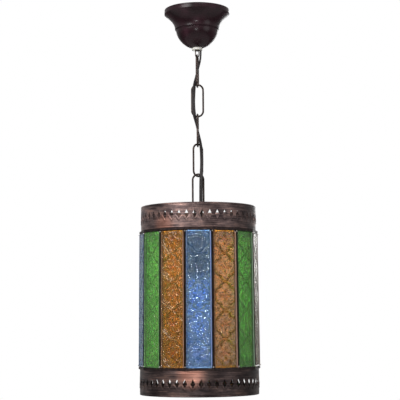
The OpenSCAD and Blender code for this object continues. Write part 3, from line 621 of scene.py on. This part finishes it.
def makeRing(name, s):
    low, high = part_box(name)
    radius, rise = high.x / mm, s["rise"][name]
    middle = (low.z + high.z) / 2 / mm + rise
    above, below = high.z / mm - middle, middle - low.z / mm
    half = math.pi * radius / s["holes"]
    t = np.linspace(0, 1, 11)
    up = np.clip(t / 0.6, 0, 1)  # a quarter of the cell's outline: up its side, then in along its top
    inn = np.clip((t - 0.6) / 0.4, 0, 1)
    outline = np.stack([half * (1 - inn), s["cell"] * up], 1)
    diamond = np.stack([s["wide"] / 2 * (1 - t), s["tall"] / 2 * t], 1)
    quarter = lambda q, sx, sz: (q * [sx, sz])[:-1] if sx == sz else (q * [sx, sz])[:0:-1]
    corners = [(1, 1), (-1, 1), (-1, -1), (1, -1)]
    inner, outer = [np.vstack([quarter(q, *corner) for corner in corners]) for q in (diamond, outline)]
    r = (np.linspace(0, 1, 8) ** 0.85)[:, None, None]
    cell = inner * (1 - r) + outer * r
    rows, columns = cell.shape[:2]
    cellQuads = gridQuads(rows, columns, True)
    xs = np.unique(np.round(np.concatenate([outline[6:, 0], -outline[6:, 0]]), 6))
    bands, bandQuads, offset = [], [], rows * columns
    for sign, end in ((1, above), (-1, below)):
        zs = np.concatenate([np.linspace(s["cell"], end - 3.8, 5), np.linspace(end - 3.4, end - 0.8, 8),
                             [end - 0.4, end]]) * sign
        grid = np.stack(np.meshgrid(xs, zs), -1)
        quads = gridQuads(len(zs), len(xs), False) + offset
        offset += len(zs) * len(xs)
        bands.append(grid.reshape(-1, 2))
        bandQuads.append(quads[:, ::-1] if sign < 0 else quads)
    flat = np.vstack([cell.reshape(-1, 2)] + bands)
    quads = np.vstack([cellQuads[:, ::-1]] + bandQuads)
    relief = ringRelief(flat[:, 0], flat[:, 1], half, above, below, s)
    k = np.arange(s["holes"])[:, None]
    turn = np.radians(s["turns"][name] - 90 + k * 360 / s["holes"]) + flat[None, :, 0] / radius
    reach = (radius - 0.62 + np.minimum(relief, 0.6))[None, :]
    points = np.stack([reach * np.cos(turn), reach * np.sin(turn),
                       middle + flat[None, :, 1] + 0 * turn], -1)
    faces = (quads[None] + (k * len(flat))[:, :, None]).reshape(-1, 4)
    mesh = bpy.data.meshes.new(name + "Flat")
    mesh.from_pydata((points.reshape(-1, 3) * mm).tolist(), [], faces.tolist())
    work = bmesh.new()
    work.from_mesh(mesh)
    bmesh.ops.remove_doubles(work, verts=work.verts, dist=0.02 * mm)
    bmesh.ops.recalc_face_normals(work, faces=work.faces)
    work.faces.ensure_lookup_table()
    face = work.faces[0]
    if face.normal.dot(Vector((face.calc_center_median().x, face.calc_center_median().y, 0))) < 0:
        bmesh.ops.reverse_faces(work, faces=work.faces)
    bmesh.ops.solidify(work, geom=work.faces[:], thickness=s["sheet"] * mm)
    work.normal_update()
    work.to_mesh(mesh)
    work.free()
    points = np.array([v.co[:] for v in mesh.vertices])
    faces = [list(p.vertices) for p in mesh.polygons]
    bpy.data.meshes.remove(mesh)
    makePiece(name + "Pressed", points, faces, antiqueCopper, "lantern", (name,),
              sharp=35, outward=True)


for ringName in ringShape["turns"]:
    makeRing(ringName, ringShape)
print("rings pierced")


# The pressed glass strips

# faceTop and faceLow are the face's distances from the axis at the drum's two ends; lip is the bare
# end under each rail and tongue the part of it that is let in
stripShape = {"sheet": 3.4, "step": 0.8, "round": 5.0, "period": 45.8, "flower": -401.0, "proud": 0.5,
              "tongueIn": 1.7, "tongueCut": 4.0, "back": 5, "faceTop": 98.0, "faceLow": 99.7,
              "gap": 2.5, "lip": 3.8, "tongue": 2.7}
stripColours = ["blue", "amber", "green", "clear", "amber", "green", "clear", "blue", "clear",
                "green", "amber", "blue", "green", "amber"]
paintedStripShade = {2: 0.7, 3: 0.6, 4: 0.5, 14: 0.92}  # strips darkened as painted shade, deepest towards the right-hand side, as a share of the tint


def stripPattern(x, z, s):
    # repeated down the strip: a four-lobed outline scored in, with a raised line inside it, four
    # petals and a ring of eight dots in its middle, and a smaller ring of dots between two outlines
    phase = (z - s["flower"]) / s["period"]
    y = (phase - np.round(phase)) * s["period"]
    lobes = np.minimum(np.hypot(x, np.abs(y) - 12.4) - 8.8, np.hypot(np.abs(x) - 6.6, y) - 13.2)
    score = np.clip(1.25 * np.exp(-(lobes / 1.15) ** 2), 0, 1)
    line = np.exp(-((lobes + 1.7) / 0.7) ** 2)
    petals = np.exp(-((np.abs(x) - 7.0) / 2.6) ** 2 - (y / 1.5) ** 2) \
        + np.exp(-((np.abs(y) - 7.0) / 2.8) ** 2 - (x / 1.5) ** 2)
    r, a = np.hypot(x, y), np.arctan2(y, x)
    dots = np.exp(-((r - 3.6) / 0.8) ** 2) * (0.5 + 0.5 * np.cos(8 * a)) ** 2 + np.exp(-(r / 0.9) ** 2)
    w = np.abs(y) - s["period"] / 2
    q, b = np.hypot(np.abs(x) - 13.5, w), np.arctan2(w, np.abs(x) - 13.5)
    knots = np.exp(-((q - 3.4) / 0.8) ** 2) * (0.5 + 0.5 * np.cos(6 * b)) ** 2 + np.exp(-(q / 1.0) ** 2)
    veins = np.exp(-((np.abs(w) - 0.35 * np.abs(x)) / 0.6) ** 2) * (lobes > 1.0) * (np.abs(x) < 11)
    relief = 0.5 * line + 0.6 * petals + 0.45 * dots + 0.45 * knots + 0.3 * veins - 0.7 * score
    marks = np.exp(-((np.abs(x) - 9.6) / 1.5) ** 2 - (y / 1.3) ** 2) \
        + np.exp(-((np.abs(y) - 8.6) / 1.5) ** 2 - (x / 1.3) ** 2)
    between = np.exp(-((r - 3.6) / 0.7) ** 2) * (0.5 - 0.5 * np.cos(8 * a)) ** 2
    groove = np.clip(score + 0.8 * marks + 0.7 * between + 0.5 * np.exp(-((q - 3.4) / 0.7) ** 2)
                     * (0.5 - 0.5 * np.cos(6 * b)) ** 2, 0, 1)
    bloom = 0.9 * np.exp(-((np.abs(y) - 0.55 * np.abs(x)) / 1.2) ** 2 - (x / 5.8) ** 4)
    return relief, groove, bloom


def makeStrip(index, s, top, low):  # top and low are the heights of the drum's ends
    faceTop, faceLow = s["faceTop"], s["faceLow"]
    step = 2 * math.pi / len(stripColours)
    tilt = math.atan2(faceLow - faceTop, top - low)
    faceAt = lambda down: faceTop + (faceLow - faceTop) * down / (top - low)
    halfAt = lambda down: faceAt(down) * math.tan(step / 2) - s["gap"] / 2  # half the strip's width
    edge, tongue = s["lip"], s["tongue"]
    rows = np.arange(edge, top - low - edge + 0.01, s["step"])
    rows = np.concatenate([rows[:-1], [top - low - edge]])
    plate = np.concatenate([[edge, edge + 0.15, edge + 0.4], rows[1:-1], rows[-1:] - 0.3, rows[-1:]])
    plate = np.unique(plate)
    columns = int(round(2 * halfAt(0) / s["step"])) + 1
    u = np.linspace(-1, 1, columns)
    u = np.sign(u) * (1 - (1 - np.abs(u)) ** 1.06)
    down = plate - edge
    cut = np.clip(s["round"] - down, 0, None)
    half = halfAt(plate) - s["round"] + np.sqrt(np.maximum(s["round"] ** 2 - cut ** 2, 0))
    x = half[:, None] * u[None]
    z = top - plate[:, None] + 0 * x
    relief, groove, bloom = stripPattern(x, z, s)
    inSide = half[:, None] - np.abs(x)
    inEdge = np.minimum(inSide, np.minimum(down[:, None], (plate[-1] - plate)[:, None]))
    calm = np.clip((inEdge - 2.6) / 1.2, 0, 1)
    relief = relief * calm + 0.55 * np.exp(-((inEdge - 1.1) / 0.8) ** 2)
    relief -= 0.35 * np.exp(-((inEdge - 2.6) / 0.5) ** 2)
    relief -= 0.8 * np.clip(1 - inEdge / 0.7, 0, 1) ** 2
    if index == 0:  # painted shade: the front strip's scored lines are darker in its top 78 mm, where the lampholder stands behind it
        upper = 1 / (1 + np.exp(-(z - top + 78) / 3))
        groove = groove * (0.55 + 0.45 * upper)
    margin = np.exp(-((inSide - 3.4) / 0.9) ** 2) * (0.5 + 0.5 * np.cos(2 * np.pi * z / 6.1)) ** 2
    groove = np.clip(groove * calm + 0.5 * np.exp(-((inEdge - 2.6) / 0.45) ** 2) + 0.9 * margin, 0, 1)
    foil = np.clip((1.05 - inEdge) / 0.2, 0, 1)
    # the pale ground edge is painted lighter on each strip's +x side as a painted glint
    pale = np.clip((2.6 - inSide) / 0.4, 0, 1) * (1 - foil) * np.where(x > 0, 0.85, 0.35)
    # body: the per-strip painted shade
    body = np.full(x.shape, paintedStripShade.get(index + 1, 1.0))
    depth = s["proud"] + 0.1 - np.minimum(relief, s["proud"] + 0.1)
    # each row is a closed loop: the face from left to right, then the back from right to left
    back = np.linspace(1, -1, s["back"])[None]
    loops = [np.concatenate([np.stack([x, depth, -plate[:, None] + 0 * x], -1),
                             np.stack([half[:, None] * back, s["sheet"] + 0 * half[:, None] * back,
                                       -plate[:, None] + 0 * half[:, None] * back], -1)], 1)]
    marks = [np.concatenate([mark, np.full((len(plate), s["back"]), rear)], 1)
             for mark, rear in ((groove, 0), (pale, 0), (foil, 0), (bloom * calm, 0), (body, 1))]
    upper = halfAt(0) - s["tongueCut"]
    lower = halfAt(0) - 2

    def tongueLoop(down, wide):
        face = np.stack([wide * u, s["tongueIn"] + 0 * u, -down + 0 * u], -1)
        rear = np.stack([wide * back[0], s["sheet"] + 0 * back[0], -down + 0 * back[0]], -1)
        return np.concatenate([face, rear])[None]

    loops = np.concatenate([tongueLoop(edge - tongue + 0.1, upper), tongueLoop(edge, upper), loops[0],
                            tongueLoop(top - low - edge, lower),
                            tongueLoop(top - low - edge + tongue - 0.1, lower)])
    blank = np.zeros((2, loops.shape[1]))
    groove, pale, foil, bloom, body = [np.concatenate([blank, m, blank]).ravel() for m in marks]
    local = loops.reshape(-1, 3)
    c, n = math.cos(tilt), math.sin(tilt)
    y = local[:, 1] * c + local[:, 2] * n - faceTop
    z = -local[:, 1] * n + local[:, 2] * c + top
    a = index * step
    points = np.stack([local[:, 0] * math.cos(a) - y * math.sin(a),
                       local[:, 0] * math.sin(a) + y * math.cos(a), z], -1)
    count = loops.shape[1]
    quads = gridQuads(len(loops), count, True)
    ends = [list(range(count)), [(len(loops) - 1) * count + i for i in range(count)][::-1]]
    name = "glass_%02d" % (index + 1)
    makePiece(name + "Pressed", points * mm, quads.tolist() + ends, glass[stripColours[index]],
              "lantern", (name,), sharp=50,
              marks={"groove": groove, "edge": pale, "foil": foil, "bloom": bloom, "body": body},
              outward=True)


drumTop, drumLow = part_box("top_rail")[1].z / mm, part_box("bottom_rail")[0].z / mm
for stripIndex in range(len(stripColours)):
    makeStrip(stripIndex, stripShape, drumTop, drumLow)
print("glass strips pressed")


# Floor, light and air

roomSet = {"floorDown": 2.6, "floorReach": 3.5, "air": 1.0, "glow": 0.62}
lampSet = [  # glint is how strongly the lamp shows in glossy faces
    {"name": "softKey", "place": (-1.5, -1.9, 0.7), "size": 1.3, "power": 44, "glint": 0.13},
    {"name": "smallFront", "place": (-0.15, -2.1, -0.68), "size": 0.2, "power": 7, "glint": 1.0},
    {"name": "softTop", "place": (0.3, -0.9, 1.0), "size": 0.6, "power": 8, "glint": 0.04},
    {"name": "softFill", "place": (1.9, -1.4, -0.4), "size": 1.4, "power": 9, "glint": 0.02},
    {"name": "softBack", "place": (0.4, 2.2, 0.2), "size": 1.6, "power": 22, "glint": 0.08},
]


def makeRoom(s, lamps):
    material, tree, shader, spot = startMaterial("paleMattFloorPaint", {"Roughness": 0.7})
    cloud = addNode(tree, "ShaderNodeTexNoise", {"Scale": perMetre(300), "Detail": 3.0}, {"Vector": spot})
    ramp = addNode(tree, "ShaderNodeValToRGB", None, {"Fac": cloud.outputs[0]})
    setRamp(ramp, [(0.3, "#eeeeec"), (0.7, "#f4f4f3")])
    tree.links.new(ramp.outputs[0], shader.inputs["Base Color"])
    a = 2 * np.pi * np.arange(96) / 96
    r = np.array([1.0, 0.5])[:, None] * s["floorReach"]
    points = np.stack([r * np.cos(a), r * np.sin(a), -s["floorDown"] + 0 * r * a], -1).reshape(-1, 3)
    mesh = bpy.data.meshes.new("roomFloor")
    mesh.from_pydata(points.tolist(), [], gridQuads(2, 96, True).tolist() + [list(range(96, 192))])
    mesh.materials.append(material)
    floor = bpy.data.objects.new("roomFloor", mesh)
    bpy.context.scene.collection.objects.link(floor)
    world = bpy.data.worlds.new("studioAir")
    bpy.context.scene.world = world
    world.use_nodes = True
    tree = world.node_tree
    tree.nodes.clear()
    seen = addNode(tree, "ShaderNodeBackground", {"Color": (1, 1, 1, 1), "Strength": s["air"]})
    way = addNode(tree, "ShaderNodeTexCoord")
    split = addNode(tree, "ShaderNodeSeparateXYZ", None, {0: way.outputs["Generated"]})
    height = addNode(tree, "ShaderNodeMapRange", {"From Min": -0.32, "From Max": 0.06, "To Min": 0.12,
                                                  "To Max": 0.9}, {"Value": split.outputs[2]})
    lit = addNode(tree, "ShaderNodeMath", {1: s["glow"]}, {0: height.outputs[0]}, operation="MULTIPLY")
    soft = addNode(tree, "ShaderNodeBackground", {"Color": (1, 1, 1, 1)}, {"Strength": lit.outputs[0]})
    ray = addNode(tree, "ShaderNodeLightPath")
    direct = addNode(tree, "ShaderNodeMath", None, {0: ray.outputs["Is Camera Ray"],
                                                    1: ray.outputs["Is Transmission Ray"]},
                     operation="MAXIMUM")
    mix = addNode(tree, "ShaderNodeMixShader", None, {0: direct.outputs[0], 1: soft.outputs[0],
                                                      2: seen.outputs[0]})
    addNode(tree, "ShaderNodeOutputWorld", None, {"Surface": mix.outputs[0]})
    middle = Vector((0, 0, (cadLow.z + cadHigh.z) / 2))
    for lamp in lamps:
        data = bpy.data.lights.new(lamp["name"], "AREA")
        data.shape, data.size, data.energy = "DISK", lamp["size"], lamp["power"]
        data.specular_factor = lamp["glint"]
        light = bpy.data.objects.new(lamp["name"], data)
        bpy.context.scene.collection.objects.link(light)
        light.location = lamp["place"]
        light.rotation_euler = (middle - Vector(lamp["place"])).to_track_quat("-Z", "Y").to_euler()
    bpy.context.scene.view_settings.view_transform = "Standard"


makeRoom(roomSet, lampSet)
print("room lit")
